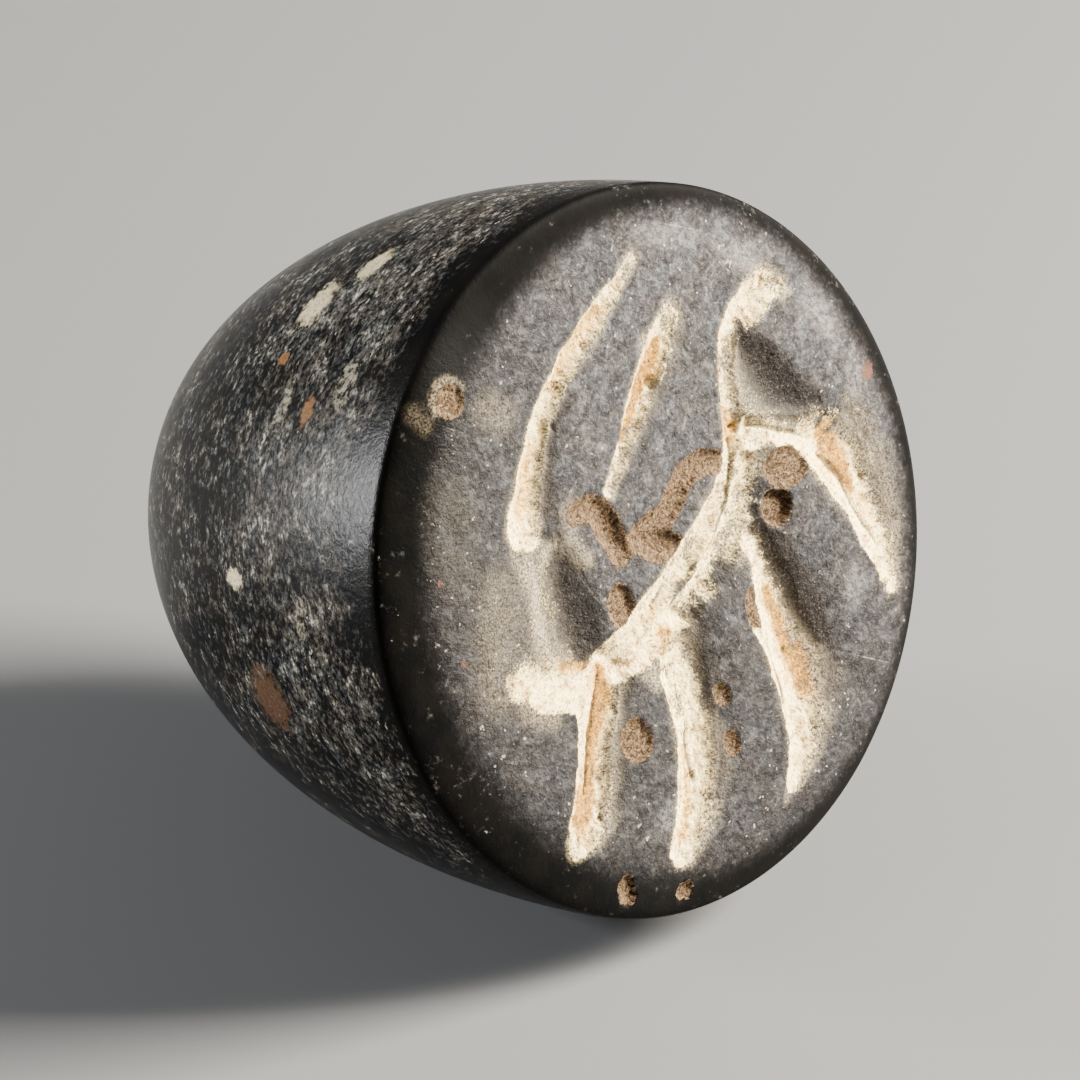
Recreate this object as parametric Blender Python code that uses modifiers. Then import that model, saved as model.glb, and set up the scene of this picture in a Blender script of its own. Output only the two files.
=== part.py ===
"""Dome stamp seal of dark stone, lying on its side, with a horned animal cut into its flat face.

The seal is turned from one profile, flattened slightly to an oval, and cut by round-bottomed
tools: long tapering strokes for the animal, and small oval pits. It lies on a small flat spot.
All sizes are in millimetres in the tables below and become metres through MM.
"""

import math

import bmesh
import bpy
from mathutils import Matrix, Vector

MM = 0.001

# Driving sizes of the stone, in millimetres.
FACE_RADIUS = 11.0          # half the height of the carved face, over its rounded rim
FACE_ASPECT = 0.955         # width of the face over its height
DOME_HEIGHT = 20.45         # from the face to the tip of the dome
FLAT_RADIUS = 6.5           # the face is flat inside this radius and falls away outside it
EDGE_RADIUS = 10.2          # where it turns over into the rim
EDGE_DROP = 0.25            # how far it has fallen there
CROWN_POWER = 2.2           # how late it falls
RIM_DEPTH = 0.65            # depth at which the rim has turned into the dome
DOME_BASE_POWER = 2.05      # how long the dome stays full above the rim
DOME_TIP_POWER = 2.15       # how blunt its tip is
REST_TILT = 17.2            # degrees the face leans back when the seal lies on its side
REST_FLAT_DEPTH = 0.25      # depth of the flat spot that it lies on

# How finely the shapes are divided.
TURN_STEPS = 80
DOME_RINGS = 20
CROWN_STEPS = 4
RIM_STEPS = 5
STROKE_STEPS = 3            # extra rings between two points of a stroke
STROKE_SIDES = 4            # bevel resolution of a stroke's round tool
WELD = 0.00001

# The animal's strokes: (right, up, width, depth) on the face, from its centre.
STROKES = {
    "far_horn": [(1.15, 8.85, 0.3, 0.06), (0.2, 8.2, 0.5, 0.16), (-1.0, 7.42, 0.75, 0.28),
                 (-2.0, 6.68, 0.8, 0.32), (-3.0, 5.75, 0.8, 0.34), (-3.6, 4.95, 0.9, 0.36),
                 (-4.1, 4.0, 1.1, 0.4), (-4.55, 3.0, 1.35, 0.42), (-4.9, 2.3, 1.3, 0.3)],
    "near_horn": [(2.1, 6.9, 0.7, 0.08), (1.35, 5.95, 1.1, 0.28), (0.55, 4.95, 1.05, 0.38),
                  (-0.15, 4.1, 0.8, 0.34), (-0.85, 3.25, 0.6, 0.26), (-1.6, 2.4, 0.45, 0.16)],
    "tail": [(6.5, 6.25, 0.5, 0.08), (5.65, 6.4, 1.05, 0.28), (4.75, 5.95, 1.15, 0.35),
             (4.15, 5.35, 1.05, 0.38), (3.85, 4.6, 1.0, 0.4), (3.75, 3.7, 1.05, 0.4),
             (3.6, 2.5, 1.1, 0.4)],
    "haunch": [(4.6, 5.0, 0.7, 0.15), (4.9, 4.3, 1.3, 0.32), (5.25, 3.5, 1.6, 0.4),
               (5.95, 2.95, 1.3, 0.32), (6.8, 2.5, 0.7, 0.15)],
    "hind_leg": [(4.2, 2.4, 1.2, 0.35), (5.2, 2.25, 1.15, 0.3), (6.2, 1.75, 1.35, 0.35),
                 (7.1, 1.1, 2.1, 0.5), (7.7, 0.1, 2.1, 0.52), (8.05, -1.0, 1.75, 0.48),
                 (8.35, -2.1, 1.3, 0.38), (8.4, -3.0, 0.9, 0.25), (8.4, -4.0, 0.5, 0.08)],
    "back": [(3.6, 2.4, 0.9, 0.38), (2.7, 1.0, 1.0, 0.4), (1.5, 0.0, 1.05, 0.42),
             (0.2, -0.85, 1.05, 0.42), (-1.1, -1.65, 1.05, 0.42), (-2.5, -2.3, 1.05, 0.42),
             (-3.6, -2.6, 1.0, 0.38)],
    "belly": [(4.0, 1.6, 1.1, 0.36), (3.5, 0.4, 1.45, 0.42), (2.4, -0.6, 1.2, 0.42),
              (1.1, -1.55, 1.1, 0.42), (-0.3, -2.2, 1.2, 0.42), (-1.6, -2.6, 1.0, 0.38),
              (-2.9, -2.8, 0.9, 0.36)],
    "fore_leg": [(-3.1, -2.8, 1.4, 0.38), (-3.3, -3.6, 1.5, 0.42), (-3.65, -4.4, 1.35, 0.42),
                 (-3.9, -5.3, 1.35, 0.42), (-4.3, -6.2, 1.45, 0.4), (-4.8, -6.95, 1.2, 0.26),
                 (-5.3, -7.45, 0.8, 0.08)],
    "middle_leg": [(-0.25, -2.5, 1.5, 0.4), (0.0, -3.6, 1.9, 0.5), (0.05, -4.6, 1.9, 0.5),
                   (0.0, -5.6, 1.75, 0.48), (-0.25, -6.8, 1.6, 0.44), (-0.85, -8.0, 1.3, 0.36),
                   (-1.65, -9.1, 0.75, 0.14)],
    "rear_leg": [(3.6, -0.6, 1.2, 0.38), (3.85, -1.6, 1.4, 0.5), (4.0, -2.7, 1.9, 0.6),
                 (4.2, -3.9, 2.2, 0.66), (4.4, -5.0, 2.2, 0.64), (4.25, -6.0, 1.85, 0.52),
                 (3.95, -7.0, 1.35, 0.4), (3.5, -7.8, 0.9, 0.26), (3.05, -8.45, 0.45, 0.08)],
    "head": [(-4.1, 1.5, 1.1, 0.2), (-4.05, 0.6, 1.65, 0.35), (-3.95, -0.4, 1.85, 0.42),
             (-3.85, -1.4, 1.75, 0.42), (-3.9, -2.1, 1.3, 0.36)],
    "muzzle": [(-6.3, -1.95, 0.9, 0.08), (-5.7, -2.05, 1.2, 0.18), (-5.0, -2.25, 1.3, 0.26),
               (-4.3, -2.5, 1.4, 0.3), (-3.6, -2.7, 1.3, 0.36), (-2.9, -2.7, 1.0, 0.36)],
    "hook": [(-3.0, 2.25, 0.7, 0.12), (-2.2, 2.1, 0.9, 0.22), (-1.75, 1.1, 1.0, 0.32),
             (-1.55, 0.4, 0.7, 0.18)],
    "curl": [(2.9, 1.85, 0.7, 0.2), (2.0, 2.15, 0.85, 0.25), (1.15, 1.85, 0.85, 0.25),
             (0.45, 1.15, 0.85, 0.25), (-0.45, 0.9, 0.85, 0.25)],
    "curl_foot": [(-0.75, 0.75, 1.05, 0.28), (-0.15, 0.35, 1.1, 0.32), (0.5, 0.0, 0.7, 0.22)],
}

# Small pits: (right, up, width, height, turn in degrees, depth) on the face.
PITS = [
    (-1.95, -0.95, 1.1, 1.45, 0, 0.2),
    (-2.35, -5.05, 1.15, 1.35, 0, 0.18),
    (5.25, 0.95, 1.65, 1.3, -10, 0.2),
    (4.62, -0.12, 1.1, 1.2, 0, 0.34),
    (3.0, -2.75, 0.8, 1.35, 0, 0.2),
    (1.2, -4.9, 0.6, 0.75, 0, 0.14),
    (1.15, -6.4, 0.65, 0.8, 0, 0.14),
    (-6.45, 6.85, 1.0, 1.0, 0, 0.2),
    (-3.7, -9.35, 0.75, 0.95, 0, 0.2),
    (-1.6, -10.1, 0.7, 0.6, 0, 0.16),
]


def clear_scene():
    """Remove every object, so that the script can be run again in an open file."""
    for old in list(bpy.data.objects):
        bpy.data.objects.remove(old, do_unlink=True)


def new_collection(name):
    group = bpy.data.collections.new(name)
    bpy.context.scene.collection.children.link(group)
    return group


def stone_material():
    """Dark grey stone with a dull polish."""
    stone = bpy.data.materials.new("dark_stone")
    stone.use_nodes = True
    shader = stone.node_tree.nodes["Principled BSDF"]
    shader.inputs["Base Color"].default_value = (0.12, 0.115, 0.115, 1.0)
    shader.inputs["Roughness"].default_value = 0.5
    shader.inputs["Metallic"].default_value = 0.0
    return stone


def face_drop(radius):
    """How far in mm the slightly crowned face has fallen at this distance from its centre."""
    share = (radius - FLAT_RADIUS) / (EDGE_RADIUS - FLAT_RADIUS)
    return EDGE_DROP * min(max(share, 0.0), 1.0) ** CROWN_POWER


def seal_profile():
    """Half outline in mm as (radius, height): face centre, rim, then down the dome to its tip."""
    points = [(0.0, 0.0)]
    for step in range(CROWN_STEPS):
        radius = FLAT_RADIUS + (EDGE_RADIUS - FLAT_RADIUS) * step / CROWN_STEPS
        points.append((radius, -face_drop(radius)))
    slope = EDGE_DROP * CROWN_POWER / (EDGE_RADIUS - FLAT_RADIUS)
    slope *= (FACE_RADIUS - EDGE_RADIUS) / (RIM_DEPTH - EDGE_DROP)
    lean = math.asin(slope / (1.0 - slope))
    across = (FACE_RADIUS - EDGE_RADIUS) / (1.0 - math.sin(lean))
    down = (RIM_DEPTH - EDGE_DROP) / math.cos(lean)
    for step in range(RIM_STEPS + 1):
        turn = lean + (0.5 * math.pi - lean) * step / RIM_STEPS
        radius = EDGE_RADIUS + across * (math.sin(turn) - math.sin(lean))
        points.append((radius, -EDGE_DROP - down * (math.cos(lean) - math.cos(turn))))
    start = points[-1][1]
    rise = DOME_HEIGHT + start
    for ring in range(1, DOME_RINGS + 1):
        share = math.sin(0.5 * math.pi * ring / DOME_RINGS)
        radius = FACE_RADIUS * max(0.0, 1.0 - share ** DOME_BASE_POWER) ** (1.0 / DOME_TIP_POWER)
        points.append((radius, start - rise * share))
    points[-1] = (0.0, -DOME_HEIGHT)
    return points


def resting_place(profile):
    """World matrix of the face's frame: right is +X, the face looks along -Y and slightly up.

    The lowest point of the tilted outline ends REST_FLAT_DEPTH under the floor, and the box of
    the whole seal is centred on the Z axis.
    """
    tilt = math.radians(REST_TILT)
    low = min(z * math.sin(tilt) - r * math.cos(tilt) for r, z in profile)
    back = [side * r * math.sin(tilt) - z * math.cos(tilt) for r, z in profile for side in (1, -1)]
    centre = 0.5 * (min(back) + max(back))
    place = Matrix.Translation((0.0, -centre * MM, -(low + REST_FLAT_DEPTH) * MM))
    return place @ Matrix.Rotation(math.radians(90.0 - REST_TILT), 4, "X")


def turned_stone(name, group, profile, place):
    """The uncut stone: its profile turned about the face's normal and flattened to an oval."""
    outline = bpy.data.meshes.new(name)
    corners = [Vector((r, 0.0, z)) * MM for r, z in profile]
    edges = [(index, index + 1) for index in range(len(corners) - 1)]
    outline.from_pydata(corners, edges, [])
    stone = bpy.data.objects.new(name, outline)
    group.objects.link(stone)
    stone.matrix_world = place @ Matrix.Diagonal((FACE_ASPECT, 1.0, 1.0, 1.0))
    turn = stone.modifiers.new("turn", "SCREW")
    turn.steps = TURN_STEPS
    turn.render_steps = TURN_STEPS
    turn.use_merge_vertices = True
    turn.merge_threshold = WELD
    turn.use_smooth_shade = True
    return stone


def smooth_points(points, steps):
    """Points of a Catmull-Rom curve through the given ones, all their values together."""
    ends = [[2 * a - b for a, b in zip(points[0], points[1])],
            [2 * a - b for a, b in zip(points[-1], points[-2])]]
    chain = [ends[0]] + [list(point) for point in points] + [ends[1]]
    result = []
    for before, start, end, after in zip(chain, chain[1:], chain[2:], chain[3:]):
        for step in range(steps):
            t = step / steps
            result.append([
                0.5 * (2 * b + (c - a) * t + (2 * a - 5 * b + 4 * c - d) * t * t
                       + (3 * b - a - 3 * c + d) * t ** 3)
                for a, b, c, d in zip(before, start, end, after)])
    result.append(list(points[-1]))
    return result


def tool_radius(width, depth):
    """Radius of the round tool whose cut has this width at the face and this depth."""
    return (0.25 * width * width + depth * depth) / (2.0 * depth)


def tool_height(right, up, radius, depth):
    """Height in mm of the middle of a round tool that cuts this deep into the crowned face."""
    return radius - depth - face_drop(math.hypot(right / FACE_ASPECT, up))


def mesh_from_curve(curve_object, group):
    """Replace a curve object by its mesh, with the end caps welded on."""
    evaluated = curve_object.evaluated_get(bpy.context.evaluated_depsgraph_get())
    mesh = bpy.data.meshes.new_from_object(evaluated)
    cleaner = bmesh.new()
    cleaner.from_mesh(mesh)
    bmesh.ops.remove_doubles(cleaner, verts=cleaner.verts, dist=WELD)
    bmesh.ops.recalc_face_normals(cleaner, faces=cleaner.faces)
    cleaner.to_mesh(mesh)
    cleaner.free()
    solid = bpy.data.objects.new(curve_object.name + "_solid", mesh)
    group.objects.link(solid)
    solid.matrix_world = curve_object.matrix_world.copy()
    bpy.data.objects.remove(curve_object, do_unlink=True)
    return solid


def stroke_cutter(name, points, group, place):
    """A round tool drawn along a stroke, its size and height following the width and depth."""
    curve = bpy.data.curves.new(name, "CURVE")
    curve.dimensions = "3D"
    curve.bevel_depth = MM
    curve.bevel_resolution = STROKE_SIDES
    curve.use_fill_caps = True
    line = smooth_points(points, STROKE_STEPS)
    spline = curve.splines.new("POLY")
    spline.points.add(len(line) - 1)
    for point, (right, up, width, depth) in zip(spline.points, line):
        radius = tool_radius(width, depth)
        point.co = (right * MM, up * MM, tool_height(right, up, radius, depth) * MM, 1.0)
        point.radius = radius
    drawn = bpy.data.objects.new(name, curve)
    group.objects.link(drawn)
    drawn.matrix_world = place
    bpy.context.view_layer.update()
    return mesh_from_curve(drawn, group)


def pit_cutter(name, pit, group, place):
    """A flattened ball that cuts one oval pit."""
    right, up, width, height, turn, depth = pit
    radius = tool_radius(width, depth)
    ball = bpy.data.meshes.new(name)
    shaper = bmesh.new()
    bmesh.ops.create_icosphere(shaper, subdivisions=2, radius=radius * MM)
    shaper.to_mesh(ball)
    shaper.free()
    cutter = bpy.data.objects.new(name, ball)
    group.objects.link(cutter)
    cutter.matrix_world = (
        place
        @ Matrix.Translation((right * MM, up * MM, tool_height(right, up, radius, depth) * MM))
        @ Matrix.Rotation(math.radians(turn), 4, "Z")
        @ Matrix.Diagonal((1.0, height / width, 1.0, 1.0)))
    return cutter


def floor_cutter(name, group):
    """A block under the floor that cuts the flat spot."""
    block = bpy.data.meshes.new(name)
    shaper = bmesh.new()
    bmesh.ops.create_cube(shaper, size=4.0 * FACE_RADIUS * MM)
    shaper.to_mesh(block)
    shaper.free()
    cutter = bpy.data.objects.new(name, block)
    group.objects.link(cutter)
    cutter.location = (0.0, 0.0, -2.0 * FACE_RADIUS * MM)
    return cutter


def cut(target, cutter):
    """Subtract one solid from the target."""
    cutter.hide_render = True
    cutter.display_type = "WIRE"
    step = target.modifiers.new("cut_" + cutter.name, "BOOLEAN")
    step.operation = "DIFFERENCE"
    step.solver = "EXACT"
    step.object = cutter


def main():
    clear_scene()
    parts = new_collection("stamp_seal")
    cutters = new_collection("cutters")
    profile = seal_profile()
    place = resting_place(profile)
    seal = turned_stone("seal", parts, profile, place)
    seal.data.materials.append(stone_material())
    for name, points in STROKES.items():
        cut(seal, stroke_cutter(name, points, cutters, place))
    for number, pit in enumerate(PITS, 1):
        cut(seal, pit_cutter(f"pit_{number}", pit, cutters, place))
    cut(seal, floor_cutter("floor", cutters))


main()
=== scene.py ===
"""Looks of the dome stamp seal: its cut face, speckled polished dome, old dirt and studio setting.

The stone is one fine mesh in the seal's own frame: x to the right on the carved face, y up it and
z out of it, in millimetres. It is moved into the model's frame and metres at the end.
"""

import math

import bpy
import numpy as np
from mathutils import Euler, Matrix, Vector, noise


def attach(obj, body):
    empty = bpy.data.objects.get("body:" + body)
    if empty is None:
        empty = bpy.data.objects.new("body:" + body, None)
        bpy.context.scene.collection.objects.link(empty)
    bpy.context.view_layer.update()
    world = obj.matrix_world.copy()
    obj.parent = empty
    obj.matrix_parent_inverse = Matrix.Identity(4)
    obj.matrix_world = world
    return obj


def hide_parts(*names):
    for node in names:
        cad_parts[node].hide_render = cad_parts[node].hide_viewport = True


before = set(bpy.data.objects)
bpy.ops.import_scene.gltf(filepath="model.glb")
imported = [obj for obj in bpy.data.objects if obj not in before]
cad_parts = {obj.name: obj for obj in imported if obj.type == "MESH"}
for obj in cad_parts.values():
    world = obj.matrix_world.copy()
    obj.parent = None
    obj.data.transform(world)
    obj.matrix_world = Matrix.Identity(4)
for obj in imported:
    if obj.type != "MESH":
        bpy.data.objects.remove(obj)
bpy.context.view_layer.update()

MM = 0.001

# The stone, with the same sizes as the CAD, in millimetres and degrees.
FACE_RADIUS = 11.0
FACE_ASPECT = 0.955
FLAT_RADIUS = 6.5           # the face falls away gently outside this radius
EDGE_RADIUS = 10.2          # and turns over into the rim here
EDGE_DROP = 0.25
CROWN_POWER = 2.2
RIM_DEPTH = 0.65            # the rim has turned into the dome at this depth
DOME_HEIGHT = 20.45
DOME_BASE_POWER = 2.05
DOME_TIP_POWER = 2.15
REST_TILT = 17.2            # degrees the face leans back
REST_FLAT_DEPTH = 0.25      # depth of the flat spot that the seal lies on
PROFILE_SAMPLES = 400
CARVED_DEPTH = 1.0          # the cuts and their masks end this far below the face

# How the stone is worn. Angles are in degrees round it from the right side of the face.
# The face's grey is partly painted sheen, with painted shade on its dark side.
DARK_SIDE = (-0.99, -0.14)  # the side of painted shade, where the dark rim reaches furthest over the face
GREY_FACE_RADII = (9.2, 10.6)    # the grey of wear and painted sheen fades out between these
GREY_FACE_BULGES = [(-38.0, 30.0, 0.3), (60.0, 20.0, 0.2), (118.0, 22.0, -0.2)]  # angle, spread, mm
SHEEN_ANGLE = 158.0         # the dome's polished side
CROWN_ANGLE = 115.0         # its upper side, with more flecks as painted light
HIDDEN_ANGLE = 20.0         # the side that the photo doesn't show

# How finely the stone is divided.
FACE_CELLS = 232            # cells across the face
RIM_RINGS = 7
DOME_SPACING = 0.3          # mm between rings down the dome
THIN_RADII = (6.0, 2.0)     # inside each of these the rings keep every other corner
STROKE_STEPS = 8

# The cuts, in mm unless they are shares.
LIGHT_SIDE = (0.95, 0.31)   # the side of the face the light comes from
LIP_REACH = 1.0             # how far the face rolls over on the lit side of a cut
LIP_CUT_DEPTH = 0.4         # that is this deep
LIP_SHARE = 0.42            # how deep it rolls, as a share of the cut's depth
WAVER = 0.07                # how far the edges of the cuts waver
WAVER_SCALE = 1.6
CUT_BLUR = 0.03             # how softly a cut meets the face
GENTLE_RIM = 0.15           # how far a gentle stroke drops away outside its bowl
CREASE_DEPTH = 0.06
CRUMB_HEIGHT = 0.035        # relief of the dirt's grains
CRUMB_SCALE = 5.0

# Strokes that hold pale dirt: (right, up, width, depth) on the face.
STROKES = {
    "far_horn": [(1.15, 8.85, 0.3, 0.06), (0.2, 8.2, 0.5, 0.16), (-1.0, 7.42, 0.75, 0.28),
                 (-2.0, 6.68, 0.8, 0.32), (-3.0, 5.75, 0.8, 0.34), (-3.6, 4.95, 0.9, 0.36),
                 (-4.1, 4.0, 1.1, 0.4), (-4.55, 3.0, 1.35, 0.42), (-4.9, 2.3, 1.3, 0.3)],
    "near_horn": [(2.1, 6.9, 0.7, 0.08), (1.35, 5.95, 1.1, 0.28), (0.55, 4.95, 1.05, 0.38),
                  (-0.15, 4.1, 0.8, 0.34), (-0.85, 3.25, 0.6, 0.26), (-1.6, 2.4, 0.45, 0.16)],
    "tail": [(6.5, 6.25, 0.5, 0.08), (5.65, 6.4, 1.05, 0.28), (4.75, 5.95, 1.15, 0.35),
             (4.15, 5.35, 1.05, 0.38), (3.85, 4.6, 1.0, 0.4), (3.75, 3.7, 1.05, 0.4),
             (3.6, 2.5, 1.1, 0.4)],
    "haunch": [(4.6, 5.0, 0.7, 0.15), (4.9, 4.3, 1.3, 0.32), (5.25, 3.5, 1.6, 0.4),
               (5.95, 2.95, 1.3, 0.32), (6.8, 2.5, 0.7, 0.15)],
    "hind_leg": [(4.2, 2.4, 1.2, 0.35), (5.2, 2.25, 1.15, 0.3), (6.2, 1.75, 1.35, 0.35),
                 (7.1, 1.1, 2.1, 0.5), (7.7, 0.1, 2.1, 0.52), (8.05, -1.0, 1.75, 0.48),
                 (8.35, -2.1, 1.3, 0.38), (8.4, -3.0, 0.9, 0.25), (8.4, -4.0, 0.5, 0.08)],
    "back": [(3.6, 2.4, 0.9, 0.38), (2.7, 1.0, 1.0, 0.4), (1.5, 0.0, 1.05, 0.42),
             (0.2, -0.85, 1.05, 0.42), (-1.1, -1.65, 1.05, 0.42), (-2.5, -2.3, 1.05, 0.42),
             (-3.6, -2.6, 1.0, 0.38)],
    "belly": [(4.0, 1.6, 1.1, 0.36), (3.5, 0.4, 1.45, 0.42), (2.4, -0.6, 1.2, 0.42),
              (1.1, -1.55, 1.1, 0.42), (-0.3, -2.2, 1.2, 0.42), (-1.6, -2.6, 1.0, 0.38),
              (-2.9, -2.8, 0.9, 0.36)],
    "fore_leg": [(-3.1, -2.8, 1.4, 0.38), (-3.3, -3.6, 1.5, 0.42), (-3.65, -4.4, 1.35, 0.42),
                 (-3.9, -5.3, 1.35, 0.42), (-4.3, -6.2, 1.45, 0.4), (-4.8, -6.95, 1.2, 0.26),
                 (-5.3, -7.45, 0.8, 0.08)],
    "middle_leg": [(-0.25, -2.5, 1.5, 0.4), (0.0, -3.6, 1.9, 0.5), (0.05, -4.6, 1.9, 0.5),
                   (0.0, -5.6, 1.75, 0.48), (-0.25, -6.8, 1.6, 0.44), (-0.85, -8.0, 1.3, 0.36),
                   (-1.65, -9.1, 0.75, 0.14)],
    "rear_leg": [(3.6, -0.6, 1.2, 0.38), (3.85, -1.6, 1.4, 0.5), (4.0, -2.7, 1.9, 0.6),
                 (4.2, -3.9, 2.2, 0.66), (4.4, -5.0, 2.2, 0.64), (4.25, -6.0, 1.85, 0.52),
                 (3.95, -7.0, 1.35, 0.4), (3.5, -7.8, 0.9, 0.26), (3.05, -8.45, 0.45, 0.08)],
    "head": [(-4.1, 1.5, 1.1, 0.2), (-4.05, 0.6, 1.65, 0.35), (-3.95, -0.4, 1.85, 0.42),
             (-3.85, -1.4, 1.75, 0.42), (-3.9, -2.1, 1.3, 0.36)],
    "muzzle": [(-6.3, -1.95, 0.9, 0.08), (-5.7, -2.05, 1.2, 0.18), (-5.0, -2.25, 1.3, 0.26),
               (-4.3, -2.5, 1.4, 0.3), (-3.6, -2.7, 1.3, 0.36), (-2.9, -2.7, 1.0, 0.36)],
}

# Strokes where the dirt is thin: how far it covers them.
THIN_DIRT = {"haunch": 0.3, "head": 0.3, "muzzle": 0.9, "middle_leg": 0.95, "hind_leg": 0.95}

# Shallow strokes with gentle walls: half widths more over which their dirt fades out.
GENTLE = {"haunch": 0.5, "head": 0.5, "muzzle": 0.3}

# Strokes that hold brown filling.
BROWN_STROKES = {
    "hook": [(-3.0, 2.25, 0.7, 0.12), (-2.2, 2.1, 0.9, 0.22), (-1.75, 1.1, 1.0, 0.32),
             (-1.55, 0.4, 0.7, 0.18)],
    "curl": [(2.9, 1.85, 0.7, 0.2), (2.0, 2.15, 0.85, 0.25), (1.15, 1.85, 0.85, 0.25),
             (0.45, 1.15, 0.85, 0.25), (-0.45, 0.9, 0.85, 0.25)],
    "curl_foot": [(-0.75, 0.75, 1.05, 0.28), (-0.15, 0.35, 1.1, 0.32), (0.5, 0.0, 0.7, 0.22)],
}

# Small pits with brown filling: (right, up, width, height, turn in degrees, depth).
PITS = [
    (-1.95, -0.95, 1.1, 1.45, 0, 0.2),
    (-2.35, -5.05, 1.15, 1.35, 0, 0.18),
    (5.25, 0.95, 1.65, 1.3, -10, 0.2),
    (4.62, -0.12, 1.1, 1.2, 0, 0.34),
    (3.0, -2.75, 0.8, 1.35, 0, 0.2),
    (1.2, -4.9, 0.6, 0.75, 0, 0.14),
    (1.15, -6.4, 0.65, 0.8, 0, 0.14),
    (-6.45, 6.85, 1.0, 1.0, 0, 0.12),
    (-3.7, -9.35, 0.75, 0.95, 0, 0.2),
    (-1.6, -10.1, 0.7, 0.6, 0, 0.16),
]

# Ochre stains along the strokes: (right, up, width) and how strong.
STAINS = [
    ([(-0.3, 7.8, 0.3), (-1.2, 7.4, 0.55), (-2.1, 6.7, 0.4), (-2.6, 6.1, 0.25)], 0.6),
    ([(-3.8, 4.7, 0.25), (-4.3, 3.7, 0.5), (-4.7, 2.7, 0.5)], 0.6),
    ([(1.5, 6.2, 0.3), (1.1, 5.6, 0.6), (0.4, 4.8, 0.35), (-0.1, 4.2, 0.35),
      (-0.5, 3.7, 0.2)], 1.2),
    ([(3.65, 4.7, 0.35), (3.6, 4.3, 0.3)], 0.7),
    ([(3.5, 3.2, 0.5), (3.55, 2.6, 0.6), (3.5, 2.3, 0.2)], 0.9),
    ([(7.1, 1.5, 0.8), (7.35, 0.8, 0.9), (7.7, -0.1, 0.6), (7.9, -0.7, 0.3)], 1.15),
    ([(6.5, 0.7, 0.3), (7.0, -0.1, 0.3)], 0.4),
    ([(8.1, -0.9, 0.4), (8.4, -1.8, 0.3)], 0.35),
    ([(-4.4, -1.9, 0.5), (-3.9, -2.2, 0.45), (-3.3, -2.25, 0.25)], 0.8),
    ([(-2.95, -2.6, 0.6), (-3.1, -3.3, 0.65), (-3.55, -4.2, 0.6), (-4.1, -5.4, 0.45),
      (-4.6, -6.2, 0.9), (-4.9, -6.8, 0.8)], 1.1),
    ([(-0.3, -2.4, 0.6), (-0.55, -2.9, 0.5)], 0.8),
    ([(-0.6, -1.5, 0.4), (-0.8, -1.9, 0.3)], 0.4),
    ([(-0.6, -5.9, 0.3), (-0.6, -6.8, 0.35), (-0.8, -7.8, 0.45), (-1.3, -8.7, 0.35)], 0.65),
    ([(3.9, -2.4, 0.4), (4.1, -3.3, 0.5), (4.3, -4.2, 0.6), (4.6, -5.0, 1.0),
      (4.6, -5.9, 0.7)], 1.1),
    ([(2.2, -0.2, 0.25), (1.9, -0.55, 0.2)], 0.5),
    ([(3.0, -2.4, 0.5), (2.8, -3.1, 0.4)], 0.9),
]

# Bare dark walls, clear of the dirt, with painted shade where they turn from the light: (right, up,
# width), and how dark.
SHADED_BARE_WALLS = [
    ([(3.85, 0.2, 0.3), (4.1, -0.7, 0.6), (4.45, -1.7, 0.8), (4.85, -2.7, 0.85),
      (5.25, -3.7, 0.7), (5.5, -4.6, 0.4)], 0.85),
    ([(5.45, -4.7, 0.3), (5.4, -5.6, 0.4), (5.1, -6.4, 0.3)], 0.4),
    ([(4.65, 5.4, 0.4), (5.0, 4.8, 0.9), (5.35, 4.0, 1.2), (5.75, 3.15, 1.2), (6.35, 2.65, 0.9),
      (7.1, 2.3, 0.4)], 0.85),
    ([(0.9, -2.4, 0.4), (0.85, -3.2, 0.55), (0.8, -4.2, 0.55), (0.85, -5.2, 0.3)], 0.6),
    ([(1.75, -2.0, 0.3), (1.4, -2.25, 0.4), (1.0, -2.5, 0.3)], 0.6),
    ([(-2.1, -3.2, 0.25), (-2.45, -4.0, 0.35), (-2.8, -4.9, 0.35), (-3.05, -5.9, 0.3),
      (-3.5, -6.8, 0.25)], 0.5),
    ([(0.75, -5.6, 0.3), (0.65, -6.7, 0.3), (0.15, -7.8, 0.3)], 0.35),
    ([(-2.5, 5.5, 0.2), (-3.1, 4.6, 0.3), (-3.5, 3.6, 0.35), (-3.85, 2.6, 0.4),
      (-4.1, 1.9, 0.4)], 0.55),
    ([(1.5, 5.1, 0.25), (0.6, 4.1, 0.25), (-0.3, 3.1, 0.25), (-1.1, 2.3, 0.25)], 0.4),
    ([(-3.7, 1.3, 0.5), (-3.6, 0.3, 1.1), (-3.5, -0.6, 1.4), (-3.4, -1.3, 1.4),
      (-3.35, -1.9, 0.9)], 0.68),
]

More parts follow.
